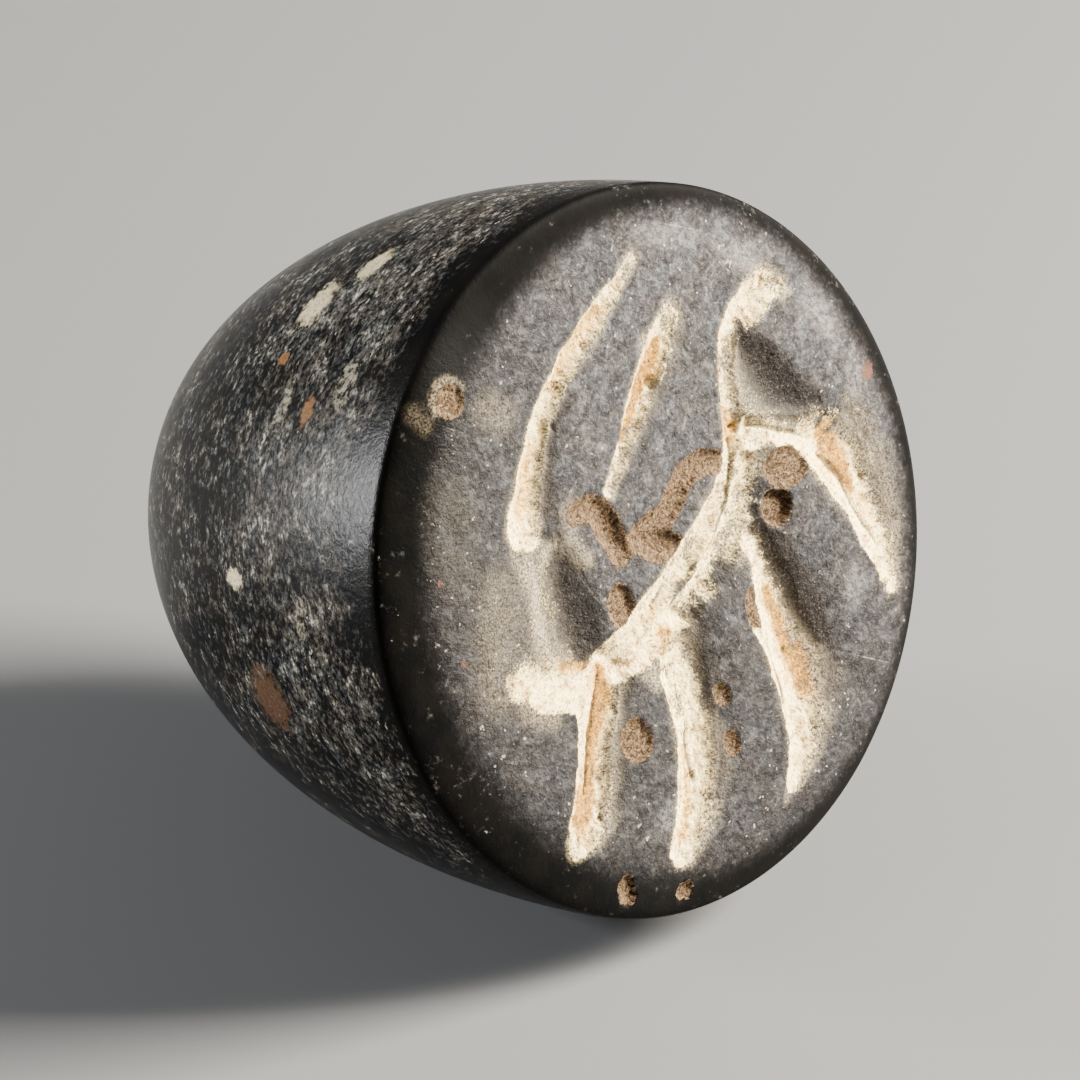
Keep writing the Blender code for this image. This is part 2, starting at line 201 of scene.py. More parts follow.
# Where the dirt is thin and the stone shows through: (right, up, width), and how much of it.
THIN_PATCHES = [
    ([(4.2, 5.3, 0.5), (3.8, 4.6, 0.9), (3.55, 3.8, 0.9), (3.4, 3.2, 0.5)], 0.4),
    ([(3.1, 1.7, 0.8), (2.1, 0.6, 0.9), (0.8, -0.3, 0.8), (-0.6, -1.2, 0.6)], 0.25),
    ([(3.9, 1.2, 0.8), (3.2, -0.2, 1.1), (2.0, -1.3, 0.9), (0.6, -2.2, 0.8)], 0.45),
    ([(-2.1, 6.5, 0.6), (-2.9, 5.7, 0.7)], 0.15),
    ([(-0.1, 4.2, 0.7), (-0.8, 3.3, 0.7), (-1.6, 2.4, 0.6)], 0.35),
    ([(1.3, 8.9, 0.5), (0.6, 8.5, 0.5)], 0.5),
    ([(2.2, 7.0, 0.8), (1.7, 6.5, 0.7)], 0.4),
    ([(6.6, 6.2, 0.7), (6.1, 6.3, 0.5)], 0.5),
    ([(-0.5, -2.9, 0.7), (-0.55, -3.8, 0.9), (-0.5, -4.7, 0.6)], 0.35),
    ([(4.4, 2.8, 0.5), (5.3, 2.6, 0.7), (6.2, 2.2, 0.7), (7.0, 1.7, 0.4)], 0.4),
    ([(-5.9, -3.0, 0.8), (-5.0, -3.3, 0.8)], 0.4),
    ([(-5.3, -1.2, 0.8), (-4.7, -0.9, 0.8)], 0.4),
    ([(4.5, -3.9, 0.8), (4.8, -5.0, 1.0), (4.6, -6.0, 0.8)], 0.3),
]

# Dark lines between layers of dirt: (right, up, width).
CREASES = [
    [(4.3, 2.55, 0.06), (4.8, 2.35, 0.12), (5.4, 2.05, 0.14), (5.9, 1.8, 0.12),
     (6.3, 1.5, 0.06)],
    [(6.75, 0.85, 0.06), (7.05, 0.5, 0.2), (7.4, 0.05, 0.24), (7.6, -0.6, 0.16),
     (7.8, -1.3, 0.12), (8.1, -2.0, 0.12), (8.4, -2.7, 0.06)],
    [(3.5, 2.4, 0.12), (3.45, 1.9, 0.1), (3.1, 1.1, 0.1), (2.8, 0.55, 0.12),
     (2.35, 0.05, 0.12), (1.9, -0.45, 0.1), (1.4, -0.72, 0.1), (0.9, -0.88, 0.08)],
    [(0.0, -1.0, 0.06), (-0.3, -1.3, 0.1), (-0.7, -1.5, 0.06)],
    [(-2.9, -2.45, 0.1), (-3.2, -3.0, 0.08), (-3.5, -3.7, 0.12), (-3.85, -4.4, 0.16),
     (-4.1, -5.0, 0.14), (-4.35, -5.7, 0.1), (-4.5, -6.1, 0.06)],
    [(3.2, -3.7, 0.06), (3.4, -4.4, 0.12), (3.47, -5.2, 0.12), (3.42, -6.0, 0.06)],
    [(-0.1, -5.2, 0.06), (-0.35, -5.9, 0.1), (-0.4, -6.7, 0.12), (-0.3, -7.2, 0.06)],
    [(3.1, -2.3, 0.08), (3.2, -2.7, 0.14), (3.3, -3.15, 0.08)],
]

# Narrow ledges of dirt beside the deeper strokes: (right, up, width, depth).
LEDGES = [
    [(5.0, 1.85, 0.3, 0.1), (5.8, 1.6, 0.4, 0.15), (6.3, 1.1, 0.5, 0.2), (6.65, 0.45, 0.55, 0.25),
     (7.0, -0.3, 0.5, 0.25), (7.4, -1.2, 0.5, 0.25), (7.75, -2.1, 0.5, 0.25),
     (8.05, -2.9, 0.45, 0.2), (8.25, -3.7, 0.35, 0.08)],
    [(2.9, -3.3, 0.3, 0.1), (3.2, -4.1, 0.35, 0.2), (3.35, -5.0, 0.35, 0.2),
     (3.45, -6.0, 0.35, 0.2), (3.4, -7.0, 0.3, 0.1)],
    [(-4.0, -3.0, 0.7, 0.2), (-4.1, -3.8, 0.6, 0.25), (-4.35, -4.8, 0.5, 0.25),
     (-4.8, -5.9, 0.5, 0.25), (-5.2, -6.8, 0.5, 0.15)],
    [(-0.85, -3.5, 0.4, 0.15), (-0.75, -4.5, 0.35, 0.2), (-0.65, -5.4, 0.35, 0.2),
     (-0.9, -6.5, 0.35, 0.2), (-1.25, -7.7, 0.4, 0.2), (-1.8, -9.0, 0.4, 0.1)],
    [(-5.6, -2.6, 0.9, 0.08), (-4.8, -2.9, 0.9, 0.12), (-4.0, -3.1, 0.8, 0.15)],
]

# Pale dust on the flat face: (right, up, width), and how thick.
DUST = [
    ([(-5.2, 2.0, 0.8), (-5.0, 0.8, 0.9), (-4.95, -0.5, 1.0), (-5.1, -1.5, 1.2)], 0.85),
    ([(-6.1, 1.0, 1.8), (-6.5, -0.6, 2.2), (-6.8, -1.9, 2.0)], 0.24),
    ([(-6.0, -2.6, 1.2), (-5.2, -3.4, 0.8)], 0.5),
    ([(-4.3, 1.4, 1.0), (-3.4, 1.3, 0.9), (-2.9, 0.7, 0.6)], 0.8),
    ([(-5.3, 6.3, 1.2), (-4.7, 5.8, 1.1)], 0.25),
    ([(-1.8, -2.8, 0.7), (-1.3, -3.2, 0.9), (-1.2, -3.8, 0.4)], 0.9),
    ([(-7.2, 4.2, 2.0), (-7.4, 1.8, 2.0)], 0.05),
    ([(1.2, 8.9, 0.6), (0.5, 8.5, 0.5)], 0.5),
    ([(6.6, 6.1, 0.6), (6.4, 5.9, 0.4)], 0.6),
    ([(0.9, 6.35, 0.5), (1.1, 6.2, 0.5)], 0.9),
    ([(-3.0, 2.3, 1.0), (-3.1, 1.9, 0.7)], 0.4),
    ([(8.4, -3.6, 0.4), (8.3, -4.2, 0.3)], 0.5),
    ([(2.9, -8.5, 0.4), (2.8, -8.9, 0.2)], 0.5),
    ([(2.4, 0.9, 1.0), (1.4, 0.0, 1.0), (0.4, -0.6, 0.9)], 0.7),
    ([(-7.0, 6.6, 0.3), (-6.95, 7.1, 0.3), (-6.4, 7.5, 0.3), (-5.9, 7.1, 0.3)], 0.5),
    ([(-7.7, 6.9, 0.7), (-7.4, 6.3, 0.5)], 0.12),
]

# Patches where the grey stone shows through the dirt: (right, up, width, height, turn).
ISLANDS = [(0.5, -1.3, 0.9, 0.4, 35), (2.25, -1.5, 0.8, 0.9, -20), (-4.9, 0.9, 0.5, 0.7, 0)]

# Small dark holes in the dirt: (right, up, width, height).
HOLES = [(8.32, -0.4, 0.24, 0.3), (0.98, 4.98, 0.4, 0.4), (3.75, 2.68, 0.16, 0.16),
         (3.3, 2.72, 0.26, 0.1), (4.2, -4.55, 0.2, 0.26), (-4.15, -6.9, 0.16, 0.2),
         (-5.1, -7.15, 0.2, 0.12), (-3.0, 4.95, 0.16, 0.24), (4.7, 1.3, 0.14, 0.3)]

# Scratches: (right, up) from end to end.
SCRATCH_WIDTH = 0.06
SCRATCHES = [[(-3.4, 0.9), (-2.55, -0.95)], [(6.0, -5.2), (8.2, -6.4)], [(-8.0, 7.0), (-5.9, 5.6)],
             [(6.9, 5.9), (8.2, 4.2)], [(2.2, 9.6), (4.3, 8.6)], [(-9.3, -3.2), (-7.6, -4.6)]]

# Pale patches on the face: (right, up, length, width, turn in degrees).
PALE_PATCHES = [(7.7, 4.9, 2.2, 1.1, -65), (5.0, 7.8, 2.2, 0.8, -40), (8.6, 2.6, 1.6, 0.8, -80),
          (2.6, 9.0, 2.4, 0.7, -20), (-1.6, -7.6, 1.8, 0.9, 30), (6.9, -3.4, 1.6, 0.9, 60)]

# Reddish chips on the face: (right, up, width, height).
CHIPS = [(9.15, 2.65, 0.5, 0.6), (-8.0, -0.7, 0.25, 0.2), (-8.2, 1.9, 0.2, 0.2)]

# Larger spots on the dome: angle, mm behind the face, half length round the dome and along it,
# turn in degrees, and the colour.
DOME_SPOTS = [
    (112.5, 5.8, 0.72, 0.48, 20, "pale"),
    (121.2, 7.3, 0.85, 0.65, 10, "pale"),
    (140.3, 6.4, 0.9, 0.32, 0, "hazy"),
    (136.5, 3.5, 0.8, 0.5, 0, "hazy"),
    (174.0, 4.4, 0.65, 0.35, 0, "hazy"),
    (170.0, 8.1, 0.3, 0.5, 0, "pale"),
    (132.3, 7.45, 0.22, 0.29, 0, "orange"),
    (141.3, 5.0, 0.47, 0.31, 0, "orange"),
    (-169.5, 7.45, 1.15, 0.98, 15, "brown"),
]


def smoothstep(low, high, values):
    """Smooth rise from 0 at low to 1 at high, or a fall where low is the larger."""
    share = np.clip((values - low) / (high - low), 0.0, 1.0)
    return share * share * (3.0 - 2.0 * share)


def bump_at(angle, middle, spread):
    """Smooth bump of 1 at the middle angle, in degrees."""
    return np.exp(-((angle - middle) / spread) ** 2)


def noise_at(points, scale):
    """Smooth noise of about -1 to 1 at each point, with features of 1 / scale millimetres."""
    return np.array([noise.fractal(Vector(point) * scale, 0.6, 2.0, 3) for point in points])


def smooth_points(points):
    """Points of a Catmull-Rom curve through the given ones, all their values together."""
    points = np.array(points)
    chain = np.concatenate([[2 * points[0] - points[1]], points, [2 * points[-1] - points[-2]]])
    t = np.arange(STROKE_STEPS)[:, None] / STROKE_STEPS
    parts = [0.5 * (2 * b + (c - a) * t + (2 * a - 5 * b + 4 * c - d) * t * t
                    + (3 * b - a - 3 * c + d) * t ** 3)
             for a, b, c, d in zip(chain, chain[1:], chain[2:], chain[3:])]
    return np.concatenate(parts + [points[-1:]])


# ------------------------------------------------ the uncut stone


def face_height(radius):
    """Height in mm of the slightly crowned face at this distance from its middle."""
    share = np.clip((radius - FLAT_RADIUS) / (EDGE_RADIUS - FLAT_RADIUS), 0.0, 1.0)
    return -EDGE_DROP * share ** CROWN_POWER


def seal_profile(samples):
    """Outlines in mm as (radius, height): the rim, then down the dome to its tip."""
    slope = EDGE_DROP * CROWN_POWER / (EDGE_RADIUS - FLAT_RADIUS)
    slope *= (FACE_RADIUS - EDGE_RADIUS) / (RIM_DEPTH - EDGE_DROP)
    lean = math.asin(slope / (1.0 - slope))
    across = (FACE_RADIUS - EDGE_RADIUS) / (1.0 - math.sin(lean))
    down = (RIM_DEPTH - EDGE_DROP) / math.cos(lean)
    turn = np.linspace(lean, 0.5 * math.pi, samples)
    rim = np.stack([EDGE_RADIUS + across * (np.sin(turn) - math.sin(lean)),
                    -EDGE_DROP - down * (math.cos(lean) - np.cos(turn))], axis=1)
    share = np.sin(np.linspace(0.0, 0.5 * math.pi, samples))
    radius = FACE_RADIUS * (1.0 - share ** DOME_BASE_POWER) ** (1.0 / DOME_TIP_POWER)
    start = rim[-1, 1]
    dome = np.stack([radius, start - (DOME_HEIGHT + start) * share], axis=1)
    return rim, dome


def evenly(line, spacing):
    """Points along a polyline at even spacing, with both ends kept."""
    steps = np.hypot(*np.diff(line, axis=0).T)
    along = np.concatenate([[0.0], np.cumsum(steps)])
    places = np.linspace(0.0, along[-1], max(2, round(along[-1] / spacing) + 1))
    return np.stack([np.interp(places, along, line[:, axis]) for axis in (0, 1)], axis=1)


def disk_points(cells):
    """A square grid of points bent to fill the unit disk evenly, row by row."""
    side = np.linspace(-1.0, 1.0, cells + 1)
    across, up = np.meshgrid(side, side)
    wide = np.abs(across) > np.abs(up)
    radius = np.where(wide, across, up)
    other = np.where(wide, up, across)
    share = np.divide(other, radius, out=np.zeros_like(radius), where=radius != 0.0)
    angle = np.where(wide, share, 2.0 - share) * 0.25 * math.pi
    return np.stack([radius * np.cos(angle), radius * np.sin(angle)], axis=-1).reshape(-1, 2)


def disk_faces(cells):
    """Squares between the points of disk_points."""
    row = cells + 1
    return [(a, a + 1, a + row + 1, a + row)
            for start in range(0, cells * row, row) for a in range(start, start + cells)]


def disk_edge(cells):
    """Indices round the grid's edge, anticlockwise from the corner at -45 degrees."""
    row = cells + 1
    right = range(cells, cells * row, row)
    top = range(row * row - 1, cells * row, -1)
    left = range(cells * row, 0, -row)
    return [*right, *top, *left, *range(cells)]


def ring_points(radius, height, count):
    """Points of one ring round the stone, from the corner at -45 degrees."""
    angle = -0.25 * math.pi + 2.0 * math.pi * np.arange(count) / count
    return np.stack([FACE_ASPECT * radius * np.cos(angle), radius * np.sin(angle),
                     np.full(count, height)], axis=1)


def band(upper, lower):
    """Faces between two rings; the lower has as many corners as the upper, or half of them."""
    count = len(lower)
    if len(upper) == count:
        return [(upper[k], lower[k], lower[(k + 1) % count], upper[(k + 1) % count])
                for k in range(count)]
    faces = []
    for k in range(count):
        first, middle, last = upper[2 * k], upper[2 * k + 1], upper[(2 * k + 2) % len(upper)]
        near, far = lower[k], lower[(k + 1) % count]
        faces += [(first, near, middle), (middle, near, far), (middle, far, last)]
    return faces


def stone_mesh():
    """Points and faces of the uncut stone."""
    rim, dome = seal_profile(PROFILE_SAMPLES)
    flat = EDGE_RADIUS * disk_points(FACE_CELLS)
    height = face_height(np.hypot(flat[:, 0], flat[:, 1]))
    points = [np.column_stack([flat * (FACE_ASPECT, 1.0), height])]
    faces = disk_faces(FACE_CELLS)
    ring = disk_edge(FACE_CELLS)
    total = len(flat)
    rim_length = np.hypot(*np.diff(rim, axis=0).T).sum()
    rim_rings = evenly(rim, rim_length / RIM_RINGS)[1:]
    rings = np.concatenate([rim_rings, evenly(dome, DOME_SPACING)[1:-1]])
    limits = list(THIN_RADII)
    for number, (radius, depth) in enumerate(rings):
        count = len(ring)
        if number == RIM_RINGS or (limits and radius < limits[0] and limits.pop(0)):
            count //= 2
        points.append(ring_points(radius, depth, count))
        lower = list(range(total, total + count))
        faces += band(ring, lower)
        total += count
        ring = lower
    points.append(np.array([[0.0, 0.0, -DOME_HEIGHT]]))
    faces += [(ring[k], total, ring[(k + 1) % len(ring)]) for k in range(len(ring))]
    return np.concatenate(points), faces


# ------------------------------------------------ the cuts


def along_stroke(flat, points):
    """For each point: how far across the stroke it lies, in half widths, with the stroke's
    half width and depth there and the direction to it from the stroke's middle."""
    line = smooth_points(points)
    best = np.full(len(flat), 1e9)
    half = np.ones(len(flat))
    depth = np.zeros(len(flat))
    offset = np.zeros((len(flat), 2))
    for number, (start, end) in enumerate(zip(line, line[1:])):
        run = end[:2] - start[:2]
        length = math.hypot(*run)
        raw = (flat - start[:2]) @ run / length ** 2
        share = np.clip(raw, 0.0, 1.0)
        away = flat - (start[:2] + share[:, None] * run)
        width = 0.5 * (start[2] + (end[2] - start[2]) * share)
        is_end = (number == 0) & (raw < 0.0) | (number == len(line) - 2) & (raw > 1.0)
        past = np.where(is_end, np.abs(raw - share) * length, 0.0)
        across = np.sqrt((away ** 2).sum(1) + (3.0 * past) ** 2) / width
        nearer = across < best
        best = np.where(nearer, across, best)
        half = np.where(nearer, width, half)
        if len(start) > 3:
            depth = np.where(nearer, start[3] + (end[3] - start[3]) * share, depth)
        offset = np.where(nearer[:, None], away / width[:, None], offset)
    return best, half, depth, offset


def round_cut(across, half, depth, side):
    """Depth of a round-bottomed cut at this many half widths from its middle; negative outside.
    Its lip is crisp on the side away from the light and worn soft on the other."""
    tool = (half ** 2 + depth ** 2) / (2.0 * depth)
    off = np.minimum(across * half, tool * 0.999)
    crisp = np.sqrt(tool ** 2 - off ** 2) - (tool - depth)
    soft = depth * np.maximum(1.0 - across ** 2, 0.0) ** 1.3
    share = smoothstep(0.0, 0.7, side) * (across < 1.0)
    return crisp + (soft - crisp) * share


def worn_lip(across, half, depth, side):
    """Extra depth where the face rolls over into a cut on its lit side."""
    reach = LIP_REACH * depth / LIP_CUT_DEPTH
    near = np.clip(1.0 - (across - 1.0) * half / reach, 0.0, 1.0)
    toward = smoothstep(0.0, 0.8, side / np.maximum(across, 1.0))
    return LIP_SHARE * depth * toward * np.where(across < 1.0, np.clip(across, 0.0, 1.0), near ** 2)


def oval(flat, right, up, width, height, turn=0.0):
    """Distance of each point from an oval's middle, in half widths."""
    angle = math.radians(turn)
    away = flat - (right, up)
    x = away @ (math.cos(angle), math.sin(angle))
    y = away @ (-math.sin(angle), math.cos(angle))
    return np.hypot(x / (0.5 * width), y / (0.5 * height))


def carve(flat):
    """Depth of the cuts in mm at each point of the face, and masks of what lies there and of
    painted shade.
    """
    shift = WAVER * np.stack([
        noise_at(np.column_stack([flat, np.full(len(flat), layer)]), WAVER_SCALE)
        for layer in (3.0, 11.0)], axis=1)
    shaken = flat + shift
    light = np.array(LIGHT_SIDE)
    zero = np.zeros(len(flat))
    cut = zero - 1.0
    lip = zero.copy()
    masks = {name: zero.copy() for name in ("cream", "bare_and_shaded", "brown", "stain", "dust", "line")}

    def raise_mask(name, values):
        masks[name] = np.maximum(masks[name], values)

    # The animal, with dirt that spills out toward the light.
    for name, points in STROKES.items():
        across, half, depth, offset = along_stroke(shaken, points)
        side = offset @ light
        if name in GENTLE:
            bowl = depth * smoothstep(1.7, 0.0, across)
            cut = np.maximum(cut, bowl - GENTLE_RIM * smoothstep(1.2, 3.0, across))
        else:
            cut = np.maximum(cut, round_cut(across, half, depth, side))
            lip = np.maximum(lip, worn_lip(across, half, depth, side))
        spill = smoothstep(-0.2, 0.4, side)
        soft = GENTLE.get(name, 0.0)
        cover = smoothstep(1.25 + 0.35 * spill + soft, 0.75 - 0.2 * spill - soft, across)
        powder = smoothstep(1.35 + 0.5 * spill, 0.8, across)
        raise_mask("dust", 0.9 * powder * THIN_DIRT.get(name, 1.0) ** 0.7)
        # Painted shade: less dirt and darker stone on the wall toward the light, which turns from
        # it.
        cover *= 1.0 - 0.6 * smoothstep(0.1, 0.9, side)
        raise_mask("cream", cover * THIN_DIRT.get(name, 1.0))
        raise_mask("bare_and_shaded", 0.35 * smoothstep(0.4, 0.9, side) * smoothstep(1.5, 1.0, across))
    for points in LEDGES:
        across, half, depth, _ = along_stroke(shaken, points)
        cut = np.maximum(cut, round_cut(across, half, depth, zero))
        raise_mask("cream", 1.25 * smoothstep(1.3, 0.8, across))
        masks["bare_and_shaded"] *= smoothstep(0.6, 1.2, across)
    # Bare walls, darkened with painted shade, and thin places take dirt away.
    for points, strength in SHADED_BARE_WALLS:
        across, half, _, offset = along_stroke(shaken, points)
        dark = strength * smoothstep(2.3, 0.2, across)
        raise_mask("bare_and_shaded", dark)
        masks["cream"] *= 1.0 - 0.75 * dark
        clear = min(1.6 * strength, 1.0) * smoothstep(-0.6, 0.3, offset @ light)
        masks["dust"] *= 1.0 - clear * smoothstep(1.6, 0.9, (across - 1.0) * half)
    for points, strength in THIN_PATCHES:
        masks["cream"] *= 1.0 - strength * smoothstep(1.9, 0.3, along_stroke(shaken, points)[0])
    for right, up, width, height, turn in ISLANDS:
        open_share = smoothstep(1.5, 0.5, oval(shaken, right, up, width, height, turn))
        masks["cream"] *= 1.0 - 0.8 * open_share
        masks["dust"] *= 1.0 - 0.6 * open_share
    # Brown filling in the curls and pits, with painted shade on their walls that turn from the
    # light.
    for points in BROWN_STROKES.values():
        across, half, depth, offset = along_stroke(shaken, points)
        side = offset @ light
        cut = np.maximum(cut, round_cut(across, half, depth, zero))
        raise_mask("brown", smoothstep(1.2, 0.85, across))
        raise_mask("bare_and_shaded", 0.6 * smoothstep(0.5, 0.9, side) * smoothstep(1.5, 1.1, across))
    for right, up, width, height, turn, depth in PITS:
        across = oval(shaken, right, up, width, height, turn)
        side = (shaken - (right, up)) @ light / (0.5 * width)
        cut = np.maximum(cut, depth * smoothstep(1.1, 0.7, across) - smoothstep(1.1, 1.4, across))
        shaded_wall = 0.5 * smoothstep(0.65, 0.9, side) * smoothstep(1.2, 1.0, across)
        raise_mask("brown", smoothstep(1.15, 0.9, across) * (1.0 - shaded_wall))
        raise_mask("bare_and_shaded", shaded_wall)
    # Stains, dust, creases and holes lie over everything.
    for name, strokes, inner in (("stain", STAINS, 0.3), ("dust", DUST, 0.2)):
        for points, strength in strokes:
            across = along_stroke(shaken, points)[0]
            raise_mask(name, strength * smoothstep(1.5, inner, across))
    for points in CREASES:
        across = along_stroke(flat + 0.5 * shift, points)[0]
        raise_mask("line", smoothstep(1.9, 0.5, across))
    for right, up, width, height in HOLES:
        raise_mask("line", smoothstep(1.4, 0.6, oval(shaken, right, up, width, height)))
    depth = 0.5 * (cut + np.sqrt(cut ** 2 + CUT_BLUR ** 2))
    depth += lip + CREASE_DEPTH * masks["line"]
    return np.maximum(depth, 0.0), masks


# ------------------------------------------------ the finished stone


def added(name, data):
    """A new object with this data, in the scene."""
    made = bpy.data.objects.new(name, data)
    bpy.context.scene.collection.objects.link(made)
    return made


def resting_place():
    """World matrix of the face's frame, as in the CAD: the seal lies on its small flat spot."""
    tilt = math.radians(REST_TILT)
    outline = np.concatenate(seal_profile(PROFILE_SAMPLES))
    low = (outline[:, 1] * math.sin(tilt) - outline[:, 0] * math.cos(tilt)).min()
    back = np.concatenate([outline[:, 0] * side * math.sin(tilt) - outline[:, 1] * math.cos(tilt)
                           for side in (1, -1)])
    centre = 0.5 * (back.min() + back.max())
    place = Matrix.Translation((0.0, -centre * MM, -(low + REST_FLAT_DEPTH) * MM))
    return place @ Matrix.Rotation(math.radians(90.0 - REST_TILT), 4, "X")


def add_mask(mesh, name, values):
    """Store one value per point for the material to read."""
    mask = mesh.attributes.new(name, "FLOAT", "POINT")
    mask.data.foreach_set("value", np.asarray(values, dtype=np.float32))


def worn_and_sheen_share(points):
    """How far the face is grey, as wear and painted sheen: fully on the face, not at all on the rim
    and dome.
    """
    across = points[:, 0] / FACE_ASPECT
    radius = np.hypot(across, points[:, 1])
    # Painted shade: the grey stops shorter on the dark side, where the face's sheen falls off.
    left = (across * DARK_SIDE[0] + points[:, 1] * DARK_SIDE[1]) / np.maximum(radius, 1.0)
    left = np.maximum(left, -0.6)
    start = GREY_FACE_RADII[0] - np.where(left > 0.0, 1.2, 0.4) * left
    end = GREY_FACE_RADII[1] - np.where(left > 0.0, 0.5, 0.3) * left
    angle = np.degrees(np.arctan2(points[:, 1], across))
    further = sum(reach * bump_at(angle, middle, spread)
                  for middle, spread, reach in GREY_FACE_BULGES)
    share = smoothstep(0.0, 1.0, (radius - start - further) / (end - start))
    return (1.0 - share) * smoothstep(-CARVED_DEPTH, -0.3, points[:, 2])


def polish_share(points):
    """Fully polished on the dome and on the rim's dark side, dull on the rest of the rim."""
    radius = np.maximum(np.hypot(points[:, 0], points[:, 1]), 1.0)
    left = (points[:, 0] * DARK_SIDE[0] + points[:, 1] * DARK_SIDE[1]) / radius
    return np.maximum(smoothstep(0.3, 0.7, -points[:, 2]), smoothstep(0.2, 0.7, left))


def fleck_and_light_share(points):
    """How densely the stone is flecked: hardly near the rim, fully on the dome's upper left, less
    toward its tip and on the hidden side, more on top and fewer beneath as painted light and shade."""
    depth = -points[:, 2]
    radius = np.maximum(np.hypot(points[:, 0], points[:, 1]), 1.0)
    angle = np.degrees(np.arctan2(points[:, 1], points[:, 0]))
    polished = bump_at(angle, SHEEN_ANGLE, 22.0)
    top = bump_at(angle, CROWN_ANGLE, 30.0)
    under = smoothstep(0.2, 0.9, -points[:, 1] / radius)
    hidden = smoothstep(80.0, 40.0, np.abs(angle - HIDDEN_ANGLE))
    share = smoothstep(-0.2 + 0.9 * top, 2.0 + 1.4 * polished + 0.5 * top, depth)
    share *= 1.0 - 0.3 * smoothstep(5.0, 13.0, depth)
    # Painted light and shade: more flecks on top, fewer beneath.
    return share * (1.0 + 0.2 * top - 0.5 * under - 0.25 * hidden)


def make_stone(material):
    """The carved stone in its resting place, with the masks that its material reads."""
    points, faces = stone_mesh()
    near_face = points[:, 2] > -CARVED_DEPTH
    flat = points[near_face][:, :2]
    depth, masks = carve(flat)
    crumbs = noise_at(points[near_face], CRUMB_SCALE)
    filled = np.maximum(np.minimum(masks["cream"], 1.0), masks["brown"])
    fading = smoothstep(-CARVED_DEPTH, -0.6, points[near_face][:, 2])
    shape = points.copy()
    shape[near_face, 2] -= np.maximum(depth - CRUMB_HEIGHT * crumbs * filled, 0.0) * fading
    place = resting_place()
    world = shape * MM @ np.array(place.to_3x3()).T + np.array(place.translation)
    world[:, 1] -= 0.5 * (world[:, 1].min() + world[:, 1].max())
    world[:, 2] = np.maximum(world[:, 2], 0.0)
    mesh = bpy.data.meshes.new("carved_stone")
    mesh.from_pydata(world.tolist(), [], faces)
    mesh.polygons.foreach_set("use_smooth", np.ones(len(mesh.polygons), dtype=bool))
    place_in_stone = mesh.attributes.new("stone_mm", "FLOAT_VECTOR", "POINT")
    place_in_stone.data.foreach_set("vector", points.astype(np.float32).ravel())
    for name, values in masks.items():
        full = np.zeros(len(points))
        full[near_face] = values * fading
        add_mask(mesh, name, full)
    add_mask(mesh, "worn_and_sheen", worn_and_sheen_share(points))
    add_mask(mesh, "fleck_and_light", fleck_and_light_share(points))
    add_mask(mesh, "polish", polish_share(points))
    mesh.update()
    # Painted shade: how far each point turns from the light, to darken the dirt there.
    normals = np.empty(3 * len(points))
    mesh.vertex_normals.foreach_get("vector", normals)
    light = place.to_3x3() @ Vector(LIGHT_SIDE + (0.0,))
    add_mask(mesh, "turned", np.clip(-2.0 * normals.reshape(-1, 3) @ light, 0.0, 1.0))
    mesh.materials.append(material)
    return added("carved_stone", mesh)


# ------------------------------------------------ materials

# Colours as sRGB in 0 to 255.
PALETTE = {
    # polished dome
    "black": (6, 6, 6), "warm black": (10, 9, 8),
    "grey": (50, 51, 50), "warm grey": (59, 55, 50),
    "dull fleck": (82, 80, 76), "pale fleck": (180, 174, 158),
    "pale": (166, 153, 124), "hazy": (112, 107, 92),
    "orange": (97, 69, 45), "brown": (60, 43, 30),
    # worn face, its grey partly painted sheen, with painted shade
    "cool face": (52, 52, 54), "warm face": (56, 53, 52),
    "dark mottle": (30, 29, 29), "light mottle": (88, 87, 85),
    "dark grain": (25, 24, 23), "light grain": (97, 94, 90),
    "shade": (24, 23, 22), "speck": (145, 138, 123), "chip": (80, 54, 44),
    "pale patch": (125, 123, 118), "scratch": (136, 130, 119),
    # dust, and bare walls with painted shade
    "dust": (162, 147, 119), "shaded_wall": (27, 24, 23), "wall grain": (102, 96, 86),
    # dirt and filling in the cuts
    "cream": (253, 229, 164), "tan": (208, 170, 110), "brown crumb": (128, 106, 76),
    # shaded dirt is painted shade on the walls of the cuts that turn from the light
    "white crumb": (250, 236, 196), "shaded dirt": (99, 86, 66), "pepper": (58, 48, 37),
    "tinge": (246, 196, 100), "ochre": (196, 139, 47), "dark ochre": (126, 84, 35),
    "ochre mottle": (98, 70, 44), "ochre grain": (66, 43, 24),
    "filling": (44, 35, 27), "light filling": (93, 74, 54), "filling grain": (146, 124, 97),
    "crease": (47, 39, 32),
}

FLOOR_COLOUR = (0.088, 0.09, 0.094, 1.0)    # linear; the lights bring it to a pale grey
STONE_SPECULAR = 0.035
ROUGHNESS = {"dome": 0.26, "rim": 1.0, "face": 0.46, "dirt": 0.95}
BUMP_HEIGHT = 0.09          # mm


def colour(name):
    """Linear colour for a shader."""
    values = [value / 255.0 for value in PALETTE[name]]
    return tuple(v / 12.92 if v <= 0.04045 else ((v + 0.055) / 1.055) ** 2.4
                 for v in values) + (1.0,)


